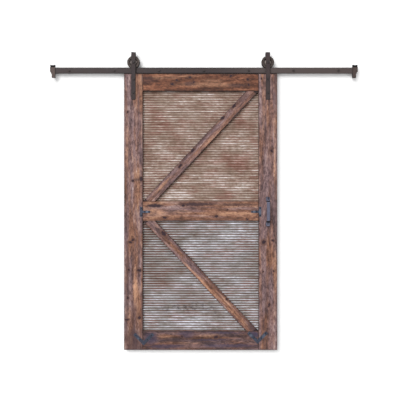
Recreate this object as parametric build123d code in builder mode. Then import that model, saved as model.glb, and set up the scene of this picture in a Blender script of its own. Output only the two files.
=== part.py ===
"""A sliding barn door: a framed leaf with corrugated panels, hung from a flat track by two strap hangers."""

import os
from math import asin, atan2, ceil, cos, hypot, radians, sin

from build123d import *

os.makedirs("parts", exist_ok=True)

# The frame is in millimetres: X to the right along the track, Y into the wall and Z up.
# The origin is the middle of the line of track bolts, on the face of the wall.
# A distance called out is measured from the wall towards the room.
sides = {"left": -1, "right": 1}

# Track bar
track_length = 2368.0
track_height = 46.0
track_thickness = 10.0
track_edge = 1.0
wall_gap = 30.0

# Lag bolts that hold the track to the wall
lag_count = 7
lag_end_inset = 140.0
lag_shank_radius = 4.75
lag_thread_radius = 4.4
lag_reach = 50.0
lag_point = 8.0
lag_head_flats = 14.3
lag_head_height = 6.4
lag_play = 0.4
lag_washer_radius = 9.5
lag_washer_thickness = 2.0
spacer_radius = 10.5

# End stops on the two ends of the track
stop_width = 40.0
stop_end_wall = 7.0
stop_thickness = 22.0
stop_lip = 3.0
stop_leg_width = 27.0
stop_leg_length = 31.0
stop_slope = 18.0
stop_play = 0.3
bumper_width = 36.0
bumper_height = 18.0
bumper_dish = 4.0
set_screw_radius = 4.0
set_screw_length = 8.0
set_screw_socket_flats = 4.0
set_screw_socket_depth = 4.0

# Grooved wheels
tread_radius = 40.0
flange_height = 9.0
wheel_width = 24.0
tread_gap = 0.3
groove_play = 0.5
groove_flare = 1.0
flange_edge = 2.0
rim_inner_radius = 33.0
web_thickness = 8.0
web_fillet = 2.0
hub_wall = 4.5

# Ball bearing in each hub
bearing_radius = 16.0
bearing_width = 10.0
bearing_lip = 2.0
ball_count = 8
ball_radius = 2.4
ball_pitch_radius = 11.0
ball_play = 0.1
ring_shoulder = 1.0
cage_thickness = 1.2
cage_width = 7.0
pocket_length = 3.6

# Axle bolts
axle_radius = 6.0
axle_head_flats = 19.0
axle_head_height = 7.5
axle_nut_height = 6.0
axle_end = 1.0
axle_play = 0.1
axle_sleeve_wall = 2.4

# Strap hangers
strap_width = 33.0
strap_thickness = 6.0
strap_inside_gap = 34.0
strap_rise = 80.0
strap_back_drop = 25.0
strap_overlap = 201.0
strap_corner = 4.0
hanger_bolt_radius = 5.0
hanger_bolt_play = 0.2
hanger_bolt_drop = 42.0
hanger_bolt_spacing = 105.0
hanger_head_flats = 16.0
hanger_head_height = 6.4
hanger_washer_radius = 10.5
hanger_washer_thickness = 2.0
hanger_nut_height = 8.0
hanger_recess_radius = 13.0
hanger_recess_depth = 12.0
hanger_bolt_end = 1.0

# Leaf and its frame
door_width = 1184.0
door_height = 2136.0
door_thickness = 44.0
door_shift = -25.0
door_drop = 4.0
stile_width = 144.0
top_rail_height = 134.0
middle_rail_height = 149.0
bottom_rail_height = 145.0
wood_edge = 2.0
tenon_length = 40.0
tenon_shoulder = 20.0
tenon_play = 0.2

# Panels held in grooves of the frame
groove_depth = 12.0
panel_reach = 10.0
panel_play = 0.3
backing_thickness = 12.0
sheet_pitch = 19.05
sheet_depth = 4.8
sheet_thickness = 0.8

# Diagonal braces on the front of the panels
brace_width = 70.0
brace_thickness = 20.5
brace_play = 0.2
brace_end_play = 0.5
brace_screw_count = 4
brace_screw_spacing = 260.0
brace_screw_length = 32.0

# Wood screws with a domed slotted head
screw_radius = 2.1
screw_point = 5.0
screw_head_radius = 4.6
screw_head_height = 2.6
screw_slot_width = 1.0
screw_slot_depth = 1.2
screw_length = 22.0
screw_play = 0.3

# Flat mending plates
plate_thickness = 3.0
plate_corner = 3.0
tee_arm_width = 18.0
tee_bar_length = 76.0
tee_bar_offset = 12.0
tee_drop = 5.0
tee_bar_screw_spacing = 54.0
tee_stem_reach = 58.0
tee_stem_screw_edge = 10.0
tee_stem_screw_spacing = 30.0
corner_arm_length = 114.0
corner_arm_width = 24.0
left_corner_rise = 36.0
right_corner_rise = 48.0
corner_apex_inset = 8.0
corner_lean = 45.0
corner_screw_edge = 17.0
corner_screw_spacing = 45.0

# Pull handle
handle_rise = 1070.0
handle_length = 228.0
handle_tab_length = 34.0
handle_tab_width = 32.0
handle_grip_width = 26.0
handle_grip_length = 144.0
handle_projection = 40.0
handle_thickness = 6.0
handle_bend = 7.0
handle_corner = 12.0

# Chamfer on the heads, nuts and ends of bolts
bolt_edge = 0.8

# Places worked out from the sizes
track_front = wall_gap + track_thickness
roller_out = wall_gap + track_thickness / 2
track_top = track_height / 2
stop_outer_x = track_length / 2 + stop_end_wall
stop_middle_x = stop_outer_x - stop_width / 2
stop_inner_x = stop_outer_x - stop_width
stop_top = track_top + stop_lip
lag_spacing = (track_length - 2 * lag_end_inset) / (lag_count - 1)
lag_places = [(i - (lag_count - 1) / 2) * lag_spacing for i in range(lag_count)]

axle_z = track_top + tread_radius + tread_gap
flange_radius = tread_radius + flange_height
hub_radius = bearing_radius + hub_wall

strap_back = roller_out - strap_inside_gap / 2 - strap_thickness
strap_seat = roller_out + strap_inside_gap / 2
strap_front = strap_seat + strap_thickness
strap_top = axle_z + strap_rise

door_front = strap_seat
door_back = door_front - door_thickness
door_top = -track_top - door_drop
door_bottom = door_top - door_height
door_middle_z = (door_top + door_bottom) / 2
opening_width = door_width - 2 * stile_width
opening_height = (door_height - top_rail_height - middle_rail_height - bottom_rail_height) / 2
top_rail_z = door_top - top_rail_height / 2
bottom_rail_z = door_bottom + bottom_rail_height / 2
upper_panel_z = door_top - top_rail_height - opening_height / 2
lower_panel_z = door_bottom + bottom_rail_height + opening_height / 2
middle_rail_z = (upper_panel_z + lower_panel_z) / 2
panel_levels = {"upper": upper_panel_z, "lower": lower_panel_z}

sheet_front = door_front - brace_thickness - brace_play
backing_front = sheet_front - sheet_depth
backing_back = backing_front - backing_thickness
slot_front = sheet_front + panel_play
slot_back = backing_back - panel_play
slot_width = slot_front - slot_back
panel_width = opening_width + 2 * panel_reach
panel_height = opening_height + 2 * panel_reach

plate_seat = door_front + plate_thickness
handle_seat = door_front + handle_thickness
handle_z = door_bottom + handle_rise
tee_z = middle_rail_z - tee_drop
hanger_bolt_levels = [door_top - hanger_bolt_drop, door_top - hanger_bolt_drop - hanger_bolt_spacing]
hanger_recess_floor = door_back + hanger_recess_depth
hanger_nut_back = hanger_recess_floor - hanger_washer_thickness - hanger_nut_height
hanger_bolt_length = strap_front - hanger_nut_back + hanger_bolt_end


def facing(out, x=0.0, z=0.0):
    """The plane that faces the room at a distance out from the wall, with its origin at x and z."""
    return Plane(origin=(x, -out, z), x_dir=(1, 0, 0), z_dir=(0, -1, 0))


def across(x, out=0.0, z=0.0):
    """The upright plane across the door at x, with the wall on its right."""
    return Plane(origin=(x, -out, z), x_dir=(0, 1, 0), z_dir=(1, 0, 0))


def keep(piece, name):
    """Label a finished piece and write it to a file of its own."""
    piece.part.label = name
    export_step(piece.part, f"parts/{name}.step")


def stile_x(side):
    """The middle of the stile on one side, and of the hanger and the wheel above it."""
    return door_shift + side * (door_width - stile_width) / 2


def joint_x(side):
    """The line on one side where the stile meets the ends of the rails."""
    return door_shift + side * opening_width / 2


def hex_bolt(flats, head_height, radius, length):
    """A hex bolt with the seat of its head at the origin and its shank along +Y."""
    with BuildPart() as bolt:
        with BuildSketch(Plane.XZ):
            RegularPolygon(flats / 2, 6, major_radius=False)
        extrude(amount=head_height)
        chamfer(bolt.faces().sort_by(Axis.Y)[0].edges(), bolt_edge)
        with BuildSketch(Plane.XZ):
            Circle(radius)
        extrude(amount=-length)
        chamfer(bolt.faces().sort_by(Axis.Y)[-1].edges(), bolt_edge)
    return bolt.part


def hex_nut(flats, height, bore_radius):
    """A hex nut with its seat at the origin, standing along +Y."""
    with BuildPart() as nut:
        with BuildSketch(Plane.XZ):
            RegularPolygon(flats / 2, 6, major_radius=False)
        extrude(amount=-height)
        chamfer(nut.faces().sort_by(Axis.Y)[-1].edges(), bolt_edge)
        with BuildSketch(Plane.XZ):
            Circle(bore_radius)
        extrude(amount=-height, mode=Mode.SUBTRACT)
    return nut.part


def sleeve(outer_radius, bore_radius, length):
    """A plain ring with one face at the origin, standing along +Y."""
    with BuildPart() as ring:
        with BuildSketch(Plane.XZ):
            Circle(outer_radius)
            Circle(bore_radius, mode=Mode.SUBTRACT)
        extrude(amount=-length)
    return ring.part


def lag_bolt(shank_length):
    """A hex lag bolt with its seat at the origin: a plain shank, then the threaded length and its point."""
    thread_end = shank_length + lag_reach
    with BuildPart() as bolt:
        with BuildSketch(Plane.XZ):
            RegularPolygon(lag_head_flats / 2, 6, major_radius=False)
        extrude(amount=lag_head_height)
        chamfer(bolt.faces().sort_by(Axis.Y)[0].edges(), bolt_edge)
        with BuildSketch(Plane.XY):
            with BuildLine():
                Polyline(
                    (0, 0),
                    (lag_shank_radius, 0),
                    (lag_shank_radius, shank_length),
                    (lag_thread_radius, shank_length),
                    (lag_thread_radius, thread_end - lag_point),
                    (0, thread_end),
                    close=True,
                )
            make_face()
        revolve(axis=Axis.Y)
    return bolt.part


def domed_screw(length):
    """A slotted wood screw with the seat of its domed head at the origin and its shank along +Y."""
    with BuildPart() as screw:
        with BuildSketch(Plane.XY):
            with BuildLine():
                TangentArc((0, -screw_head_height), (screw_head_radius, 0), tangent=(1, 0))
                Polyline(
                    (screw_head_radius, 0),
                    (screw_radius, 0),
                    (screw_radius, length - screw_point),
                    (0, length),
                    (0, -screw_head_height),
                )
            make_face()
        revolve(axis=Axis.Y)
        with BuildSketch(Plane.XZ.offset(screw_head_height)):
            Rectangle(2 * screw_head_radius, screw_slot_width)
        extrude(amount=-screw_slot_depth, mode=Mode.SUBTRACT)
    return screw.part


def tee_screw_points(side):
    """The two screws on the bar of a tee plate and the two on its stem, as x and z."""
    bar_x = joint_x(side) + side * tee_bar_offset
    bar = [(bar_x, tee_z + end * tee_bar_screw_spacing / 2) for end in (-1, 1)]
    tip_x = joint_x(side) - side * (tee_stem_reach - tee_stem_screw_edge)
    stem = [(tip_x, tee_z), (tip_x + side * tee_stem_screw_spacing, tee_z)]
    return bar + stem


def corner_plane(side):
    """The leaning plane of a corner plate: its origin at the lower tip, its axes along the two arms."""
    lean = radians(corner_lean)
    tip_x = joint_x(side) - side * corner_apex_inset
    tip_rise = right_corner_rise if side > 0 else left_corner_rise
    origin = (tip_x, -door_front, door_bottom + tip_rise)
    return Plane(origin=origin, x_dir=(cos(lean), 0, sin(lean)), z_dir=(0, -1, 0))


def corner_screw_points(side):
    """The two screws on each arm of a corner plate, as x and z."""
    plane = corner_plane(side)
    points = []
    for step in range(2):
        along = corner_arm_length - corner_screw_edge - step * corner_screw_spacing
        for local in ((along, corner_arm_width / 2), (corner_arm_width / 2, along)):
            place = plane.from_local_coords((*local, 0))
            points.append((place.X, place.Z))
    return points


def handle_screw_points():
    """The screw in each tab of the handle, as x and z."""
    reach = (handle_length - handle_tab_length) / 2
    return [(stile_x(1), handle_z + end * reach) for end in (-1, 1)]


def brace_slope():
    """The angle between a brace and the rails, when its ends fill two corners of the opening."""
    width = opening_width - 2 * brace_end_play
    height = opening_height - 2 * brace_end_play
    return atan2(height, width) + asin(brace_width / hypot(width, height))


def brace_screw_points(level, lean):
    """The screws along the middle of a brace, as x and z: lean is 1 where it rises to the right."""
    slope = brace_slope()
    points = []
    for i in range(brace_screw_count):
        along = (i - (brace_screw_count - 1) / 2) * brace_screw_spacing
        points.append((door_shift + lean * along * cos(slope), level + along * sin(slope)))
    return points


plate_screw_points = []
for side in sides.values():
    plate_screw_points += tee_screw_points(side) + corner_screw_points(side)
brace_leans = {"upper": 1, "lower": -1}
brace_screws_by_panel = {
    name: brace_screw_points(level, brace_leans[name]) for name, level in panel_levels.items()
}

# Track bar
with BuildPart() as track_bar:
    with BuildSketch(facing(wall_gap)):
        Rectangle(track_length, track_height)
    extrude(amount=track_thickness)
    chamfer(track_bar.edges().filter_by(Axis.X), track_edge)
    with BuildSketch(facing(wall_gap)):
        with Locations(*[(x, 0) for x in lag_places]):
            Circle(lag_shank_radius + lag_play)
    extrude(amount=track_thickness, mode=Mode.SUBTRACT)
keep(track_bar, "track_bar")

# Spacers, washers and lag bolts
with BuildPart() as track_spacers:
    with Locations(*[(x, -wall_gap, 0) for x in lag_places]):
        add(sleeve(spacer_radius, lag_shank_radius + lag_play, wall_gap))
keep(track_spacers, "track_spacers")

with BuildPart() as track_washers:
    with Locations(*[(x, -track_front - lag_washer_thickness, 0) for x in lag_places]):
        add(sleeve(lag_washer_radius, lag_shank_radius + lag_play, lag_washer_thickness))
keep(track_washers, "track_washers")

with BuildPart() as track_lag_bolts:
    with Locations(*[(x, -track_front - lag_washer_thickness, 0) for x in lag_places]):
        add(lag_bolt(track_front + lag_washer_thickness))
keep(track_lag_bolts, "track_lag_bolts")

# End stops with their rubber bumpers
for name, side in sides.items():
    with BuildPart() as end_stop:
        with BuildSketch(facing(roller_out - stop_thickness / 2)):
            with BuildLine():
                Polyline(
                    (side * stop_inner_x, stop_top),
                    (side * stop_outer_x, stop_top),
                    (side * stop_outer_x, -stop_top + stop_slope),
                    (side * (stop_inner_x + stop_leg_width), -stop_top),
                    (side * (stop_inner_x + stop_leg_width), -stop_top - stop_leg_length),
                    (side * stop_inner_x, -stop_top - stop_leg_length),
                    close=True,
                )
            make_face()
        extrude(amount=stop_thickness)
        chamfer(end_stop.edges().filter_by(Axis.Y).sort_by(Axis.Z)[:2], track_edge)
        with BuildSketch(facing(wall_gap - stop_play)):
            Rectangle(track_length + 2 * stop_play, track_height + 2 * stop_play)
        extrude(amount=track_thickness + 2 * stop_play, mode=Mode.SUBTRACT)
        with BuildSketch(facing(roller_out - stop_thickness / 2)):
            with Locations((side * stop_middle_x, 0)):
                Circle(set_screw_radius)
        extrude(amount=stop_thickness / 2, mode=Mode.SUBTRACT)
    keep(end_stop, f"{name}_end_stop")

    with BuildPart() as bumper:
        with BuildSketch(facing(roller_out - stop_thickness / 2, side * stop_middle_x, stop_top)):
            with BuildLine():
                Polyline(
                    (-bumper_width / 2, bumper_height),
                    (-bumper_width / 2, 0),
                    (bumper_width / 2, 0),
                    (bumper_width / 2, bumper_height),
                )
                ThreePointArc(
                    (bumper_width / 2, bumper_height),
                    (0, bumper_height - bumper_dish),
                    (-bumper_width / 2, bumper_height),
                )
            make_face()
        extrude(amount=stop_thickness)
    keep(bumper, f"{name}_stop_bumper")

with BuildPart() as stop_set_screws:
    with BuildSketch(facing(wall_gap)):
        with Locations(*[(side * stop_middle_x, 0) for side in sides.values()]):
            Circle(set_screw_radius)
    extrude(amount=-set_screw_length)
    with BuildSketch(facing(wall_gap - set_screw_length)):
        with Locations(*[(side * stop_middle_x, 0) for side in sides.values()]):
            RegularPolygon(set_screw_socket_flats / 2, 6, major_radius=False)
    extrude(amount=set_screw_socket_depth, mode=Mode.SUBTRACT)
keep(stop_set_screws, "stop_set_screws")

# Grooved wheels on ball bearings
rim_half = wheel_width / 2
web_half = web_thickness / 2
groove_half = track_thickness / 2 + groove_play
bearing_half = bearing_width / 2
inner_ring_radius = ball_pitch_radius - ball_radius + ring_shoulder
outer_ring_bore = ball_pitch_radius + ball_radius - ring_shoulder
for name, side in sides.items():
    hub = across(stile_x(side), roller_out, axle_z)
    spin_axis = Axis((stile_x(side), -roller_out, axle_z), (0, 1, 0))

    with BuildPart() as wheel:
        with BuildSketch(hub) as section:
            with BuildLine():
                Polyline(
                    (-rim_half, bearing_radius),
                    (-rim_half, hub_radius),
                    (-web_half, hub_radius),
                    (-web_half, rim_inner_radius),
                    (-rim_half, rim_inner_radius),
                    (-rim_half, flange_radius - flange_edge),
                    (-rim_half + flange_edge, flange_radius),
                    (-groove_half - groove_flare, flange_radius),
                    (-groove_half, tread_radius),
                    (groove_half, tread_radius),
                    (groove_half + groove_flare, flange_radius),
                    (rim_half - flange_edge, flange_radius),
                    (rim_half, flange_radius - flange_edge),
                    (rim_half, rim_inner_radius),
                    (web_half, rim_inner_radius),
                    (web_half, hub_radius),
                    (rim_half, hub_radius),
                    (rim_half, bearing_radius - bearing_lip),
                    (bearing_half, bearing_radius - bearing_lip),
                    (bearing_half, bearing_radius),
                    close=True,
                )
            make_face()
        revolve(axis=spin_axis)
        web_edges = wheel.edges().filter_by(GeomType.CIRCLE).filter_by(
            lambda edge: abs(abs(edge.center().Y + roller_out) - web_half) < web_fillet / 2
            and edge.radius < flange_radius - flange_height
        )
        fillet(web_edges, web_fillet)
    keep(wheel, f"{name}_wheel")

    with BuildPart() as outer_ring:
        with BuildSketch(hub):
            with Locations((0, (outer_ring_bore + bearing_radius) / 2)):
                Rectangle(bearing_width, bearing_radius - outer_ring_bore)
            with Locations((0, ball_pitch_radius)):
                Circle(ball_radius + ball_play, mode=Mode.SUBTRACT)
        revolve(axis=spin_axis)
    keep(outer_ring, f"{name}_bearing_outer_ring")

    with BuildPart() as inner_ring:
        with BuildSketch(hub):
            with Locations((0, (axle_radius + axle_play + inner_ring_radius) / 2)):
                Rectangle(bearing_width, inner_ring_radius - axle_radius - axle_play)
            with Locations((0, ball_pitch_radius)):
                Circle(ball_radius + ball_play, mode=Mode.SUBTRACT)
        revolve(axis=spin_axis)
    keep(inner_ring, f"{name}_bearing_inner_ring")

    with BuildPart() as balls:
        with Locations(facing(roller_out, stile_x(side), axle_z)):
            with PolarLocations(ball_pitch_radius, ball_count):
                Sphere(ball_radius)
    keep(balls, f"{name}_bearing_balls")

    with BuildPart() as cage:
        with BuildSketch(facing(roller_out - cage_width / 2, stile_x(side), axle_z)):
            Circle(ball_pitch_radius + cage_thickness / 2)
            Circle(ball_pitch_radius - cage_thickness / 2, mode=Mode.SUBTRACT)
        extrude(amount=cage_width)
        with Locations(facing(roller_out, stile_x(side), axle_z)):
            with PolarLocations(ball_pitch_radius, ball_count):
                Cylinder(ball_radius + ball_play, pocket_length, rotation=(0, 90, 0), mode=Mode.SUBTRACT)
    keep(cage, f"{name}_bearing_cage")

# Strap hangers folded over the wheels
fold_z = strap_top - strap_inside_gap / 2 - strap_thickness
strap_end_z = door_top - strap_overlap
strap_back_z = axle_z - strap_back_drop
inside = strap_inside_gap / 2
outside = inside + strap_thickness
for name, side in sides.items():
    with BuildPart() as strap:
        with BuildSketch(across(stile_x(side), roller_out)):
            with BuildLine():
                Line((-outside, strap_end_z), (-outside, fold_z))
                ThreePointArc((-outside, fold_z), (0, fold_z + outside), (outside, fold_z))
                Polyline((outside, fold_z), (outside, strap_back_z), (inside, strap_back_z), (inside, fold_z))
                ThreePointArc((inside, fold_z), (0, fold_z + inside), (-inside, fold_z))
                Polyline((-inside, fold_z), (-inside, strap_end_z), (-outside, strap_end_z))
            make_face()
        extrude(amount=strap_width / 2, both=True)
        fillet(strap.edges().filter_by(Axis.Y), strap_corner)
        with BuildSketch(facing(strap_front, stile_x(side))):
            with Locations((0, axle_z)):
                Circle(axle_radius + axle_play)
        extrude(amount=-(strap_front - strap_back), mode=Mode.SUBTRACT)
        with BuildSketch(facing(strap_front, stile_x(side))):
            with Locations(*[(0, z) for z in hanger_bolt_levels]):
                Circle(hanger_bolt_radius + hanger_bolt_play)
        extrude(amount=-strap_thickness, mode=Mode.SUBTRACT)
    keep(strap, f"{name}_hanger_strap")

# Bolts, washers and nuts that hold the hangers to the stiles
hanger_places = [(stile_x(side), z) for side in sides.values() for z in hanger_bolt_levels]
with BuildPart() as hanger_bolts:
    with Locations(*[(x, -strap_front, z) for x, z in hanger_places]):
        add(hex_bolt(hanger_head_flats, hanger_head_height, hanger_bolt_radius, hanger_bolt_length))
keep(hanger_bolts, "hanger_bolts")

with BuildPart() as hanger_washers:
    with Locations(*[(x, -hanger_recess_floor, z) for x, z in hanger_places]):
        add(sleeve(hanger_washer_radius, hanger_bolt_radius + hanger_bolt_play, hanger_washer_thickness))
keep(hanger_washers, "hanger_washers")

with BuildPart() as hanger_nuts:
    with Locations(*[(x, -hanger_recess_floor + hanger_washer_thickness, z) for x, z in hanger_places]):
        add(hex_nut(hanger_head_flats, hanger_nut_height, hanger_bolt_radius))
keep(hanger_nuts, "hanger_nuts")

# Axle bolts with their nuts and sleeves
axle_length = strap_front - strap_back + axle_nut_height + axle_end
for name, side in sides.items():
    with BuildPart() as axle_bolt:
        with Locations((stile_x(side), -strap_front, axle_z)):
            add(hex_bolt(axle_head_flats, axle_head_height, axle_radius, axle_length))
    keep(axle_bolt, f"{name}_axle_bolt")

with BuildPart() as axle_nuts:
    with Locations(*[(stile_x(side), -strap_back, axle_z) for side in sides.values()]):
        add(hex_nut(axle_head_flats, axle_nut_height, axle_radius))
keep(axle_nuts, "axle_nuts")

axle_sleeve_length = (strap_inside_gap - bearing_width) / 2
axle_sleeve_starts = [strap_seat, roller_out - bearing_width / 2]
with BuildPart() as axle_sleeves:
    with Locations(*[(stile_x(side), -out, axle_z) for side in sides.values() for out in axle_sleeve_starts]):
        add(sleeve(axle_radius + axle_sleeve_wall, axle_radius + axle_play, axle_sleeve_length))
keep(axle_sleeves, "axle_sleeves")

# Stiles, with a groove for each panel, a mortise for each rail and the holes of what is fixed to them
rails = {
    "top": (top_rail_z, top_rail_height),
    "middle": (middle_rail_z, middle_rail_height),
    "bottom": (bottom_rail_z, bottom_rail_height),
}
for name, side in sides.items():
    with BuildPart() as stile:
        with BuildSketch(facing(door_back, stile_x(side), door_middle_z)):
            Rectangle(stile_width, door_height)
        extrude(amount=door_thickness)
        chamfer(stile.edges(), wood_edge)
        with BuildSketch(facing(slot_back, joint_x(side))):
            with Locations(*[(0, z) for z in panel_levels.values()]):
                Rectangle(2 * groove_depth, opening_height + 2 * groove_depth)
        extrude(amount=slot_width, mode=Mode.SUBTRACT)
        with BuildSketch(facing(slot_back, joint_x(side))):
            for rail_z, rail_height in rails.values():
                with Locations((0, rail_z)):
                    Rectangle(
                        2 * (tenon_length + tenon_play),
                        rail_height - 2 * (tenon_shoulder - tenon_play),
                    )
        extrude(amount=slot_width, mode=Mode.SUBTRACT)
        with BuildSketch(facing(door_back, stile_x(side))):
            with Locations(*[(0, z) for z in hanger_bolt_levels]):
                Circle(hanger_recess_radius)
        extrude(amount=hanger_recess_depth, mode=Mode.SUBTRACT)
        with BuildSketch(facing(door_back, stile_x(side))):
            with Locations(*[(0, z) for z in hanger_bolt_levels]):
                Circle(hanger_bolt_radius + hanger_bolt_play)
        extrude(amount=door_thickness, mode=Mode.SUBTRACT)
        with BuildSketch(facing(plate_seat)):
            with Locations(*plate_screw_points):
                Circle(screw_radius)
        extrude(amount=-screw_length, mode=Mode.SUBTRACT)
        with BuildSketch(facing(handle_seat)):
            with Locations(*handle_screw_points()):
                Circle(screw_radius)
        extrude(amount=-screw_length, mode=Mode.SUBTRACT)
    keep(stile, f"{name}_stile")

# Rails, with a tenon at each end and a groove along each edge that meets a panel
for name, (rail_z, rail_height) in rails.items():
    with BuildPart() as rail:
        with BuildSketch(facing(door_back, door_shift, rail_z)):
            Rectangle(opening_width, rail_height)
        extrude(amount=door_thickness)
        chamfer(rail.edges(), wood_edge)
        with BuildSketch(facing(slot_back + tenon_play, door_shift, rail_z)):
            Rectangle(opening_width + 2 * tenon_length, rail_height - 2 * tenon_shoulder)
        extrude(amount=slot_width - 2 * tenon_play)
        with BuildSketch(facing(slot_back, door_shift)):
            with Locations(*[(0, z) for z in panel_levels.values()]):
                Rectangle(opening_width, opening_height + 2 * groove_depth)
        extrude(amount=slot_width, mode=Mode.SUBTRACT)
        with BuildSketch(facing(plate_seat)):
            with Locations(*plate_screw_points):
                Circle(screw_radius)
        extrude(amount=-screw_length, mode=Mode.SUBTRACT)
    keep(rail, f"{name}_rail")

# Backing boards, corrugated sheets and braces
half_wave = sheet_pitch / 2
wave_rise = (sheet_depth - sheet_thickness) / 2
wave_radius = ((half_wave / 2) ** 2 + wave_rise**2) / (2 * wave_rise)
wave_tilt = asin(half_wave / 2 / wave_radius)
skin = sheet_thickness / 2
wave_count = 2 * ceil(panel_height / sheet_pitch)


def wave_point(i, face):
    """Where half wave i starts, on one face of the sheet: face is -1 for the room, 1 for the wall."""
    lean = -1 if i % 2 == 0 else 1
    start = (i - wave_count / 2) * half_wave
    return (face * skin * cos(wave_tilt), start - lean * face * skin * sin(wave_tilt))


def wave_crest(i, face):
    """The middle of half wave i on one face of the sheet: even ones bulge to the room."""
    bulge = -1 if i % 2 == 0 else 1
    return (bulge * wave_rise + face * skin, (i + 0.5 - wave_count / 2) * half_wave)


for name, level in panel_levels.items():
    screw_points = brace_screws_by_panel[name]
    with BuildPart() as backing_board:
        with BuildSketch(facing(backing_back, door_shift, level)):
            Rectangle(panel_width, panel_height)
        extrude(amount=backing_thickness)
        with BuildSketch(facing(backing_back)):
            with Locations(*screw_points):
                Circle(screw_radius)
        extrude(amount=backing_thickness, mode=Mode.SUBTRACT)
    keep(backing_board, f"{name}_backing_board")

    with BuildPart() as sheet:
        with BuildSketch(across(door_shift, sheet_front - sheet_depth / 2, level)):
            with BuildLine():
                for face in (-1, 1):
                    for i in range(wave_count):
                        ThreePointArc(wave_point(i, face), wave_crest(i, face), wave_point(i + 1, face))
                Line(wave_point(0, -1), wave_point(0, 1))
                Line(wave_point(wave_count, -1), wave_point(wave_count, 1))
            make_face()
        extrude(amount=panel_width / 2, both=True)
        with BuildSketch(facing(backing_front, door_shift, level)):
            Rectangle(panel_width, panel_height)
        extrude(amount=sheet_depth, mode=Mode.INTERSECT)
        with BuildSketch(facing(backing_front)):
            with Locations(*screw_points):
                Circle(screw_radius + screw_play)
        extrude(amount=sheet_depth, mode=Mode.SUBTRACT)
    keep(sheet, f"{name}_corrugated_sheet")

    lean = brace_leans[name]
    half_width = opening_width / 2 - brace_end_play
    half_height = opening_height / 2 - brace_end_play
    foot = brace_width / sin(brace_slope())
    with BuildPart() as brace:
        with BuildSketch(facing(door_front - brace_thickness, door_shift, level)):
            with BuildLine():
                Polyline(
                    (lean * half_width, half_height),
                    (lean * (half_width - foot), half_height),
                    (-lean * half_width, -half_height),
                    (-lean * (half_width - foot), -half_height),
                    close=True,
                )
            make_face()
        extrude(amount=brace_thickness)
        chamfer(brace.faces().sort_by(Axis.Y)[0].edges(), wood_edge)
        with BuildSketch(facing(backing_back)):
            with Locations(*screw_points):
                Circle(screw_radius)
        extrude(amount=brace_screw_length, mode=Mode.SUBTRACT)
    keep(brace, f"{name}_brace")

with BuildPart() as brace_screws:
    points = [p for screw_points in brace_screws_by_panel.values() for p in screw_points]
    with Locations(*[Location((x, -backing_back, z), (0, 0, 180)) for x, z in points]):
        add(domed_screw(brace_screw_length))
keep(brace_screws, "brace_screws")

# Tee plates at the ends of the middle rail
for name, side in sides.items():
    with BuildPart() as tee_strap:
        with BuildSketch(facing(door_front, joint_x(side), tee_z)) as outline:
            with Locations((side * tee_bar_offset, 0)):
                Rectangle(tee_arm_width, tee_bar_length)
            with Locations((side * (tee_bar_offset - tee_stem_reach) / 2, 0)):
                Rectangle(tee_bar_offset + tee_stem_reach, tee_arm_width)
            fillet(outline.vertices(), plate_corner)
        extrude(amount=plate_thickness)
        with BuildSketch(facing(door_front)):
            with Locations(*tee_screw_points(side)):
                Circle(screw_radius + screw_play)
        extrude(amount=plate_thickness, mode=Mode.SUBTRACT)
    keep(tee_strap, f"{name}_tee_strap")

# Corner plates at the ends of the bottom rail
for name, side in sides.items():
    with BuildPart() as corner_strap:
        with BuildSketch(corner_plane(side)) as outline:
            Rectangle(corner_arm_length, corner_arm_width, align=(Align.MIN, Align.MIN))
            Rectangle(corner_arm_width, corner_arm_length, align=(Align.MIN, Align.MIN))
            fillet(outline.vertices(), plate_corner)
        extrude(amount=plate_thickness)
        with BuildSketch(facing(door_front)):
            with Locations(*corner_screw_points(side)):
                Circle(screw_radius + screw_play)
        extrude(amount=plate_thickness, mode=Mode.SUBTRACT)
    keep(corner_strap, f"{name}_corner_strap")

with BuildPart() as strap_screws:
    with Locations(*[(x, -plate_seat, z) for x, z in plate_screw_points]):
        add(domed_screw(screw_length))
keep(strap_screws, "strap_screws")

# Pull handle, one flat bar bent out from two screwed tabs
grip_out = door_front + handle_projection - handle_thickness / 2
tab_out = door_front + handle_thickness / 2
tab_end = handle_length / 2
tab_start = tab_end - handle_tab_length
grip_end = handle_grip_length / 2
with BuildPart() as pull_handle:
    with BuildLine(across(stile_x(1), 0, handle_z)) as bend_line:
        FilletPolyline(
            (-tab_out, tab_end),
            (-tab_out, tab_start),
            (-grip_out, grip_end),
            (-grip_out, -grip_end),
            (-tab_out, -tab_start),
            (-tab_out, -tab_end),
            radius=handle_bend,
        )
    with BuildSketch(Plane(origin=bend_line.line @ 0, x_dir=(1, 0, 0), z_dir=(0, 0, -1))):
        Rectangle(handle_grip_width, handle_thickness)
    sweep()
    with BuildSketch(facing(door_front, stile_x(1), handle_z)) as tabs:
        with Locations(*[(0, end * (tab_end - handle_tab_length / 2)) for end in (-1, 1)]):
            RectangleRounded(handle_tab_width, handle_tab_length, handle_corner)
    extrude(amount=handle_thickness)
    with BuildSketch(facing(door_front)):
        with Locations(*handle_screw_points()):
            Circle(screw_radius + screw_play)
    extrude(amount=handle_thickness, mode=Mode.SUBTRACT)
keep(pull_handle, "pull_handle")

with BuildPart() as handle_screws:
    with Locations(*[(x, -handle_seat, z) for x, z in handle_screw_points()]):
        add(domed_screw(screw_length))
keep(handle_screws, "handle_screws")
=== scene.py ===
"""Looks of a sliding barn door: a stained pine leaf with corrugated panels, on a dark steel track."""

import logging
import math
from dataclasses import dataclass, field, replace
from enum import Enum
from functools import reduce

import bmesh
import bpy
from bpy.types import Material, Node, NodeSocket, NodeTree, Object
from mathutils import Matrix, Vector


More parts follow.
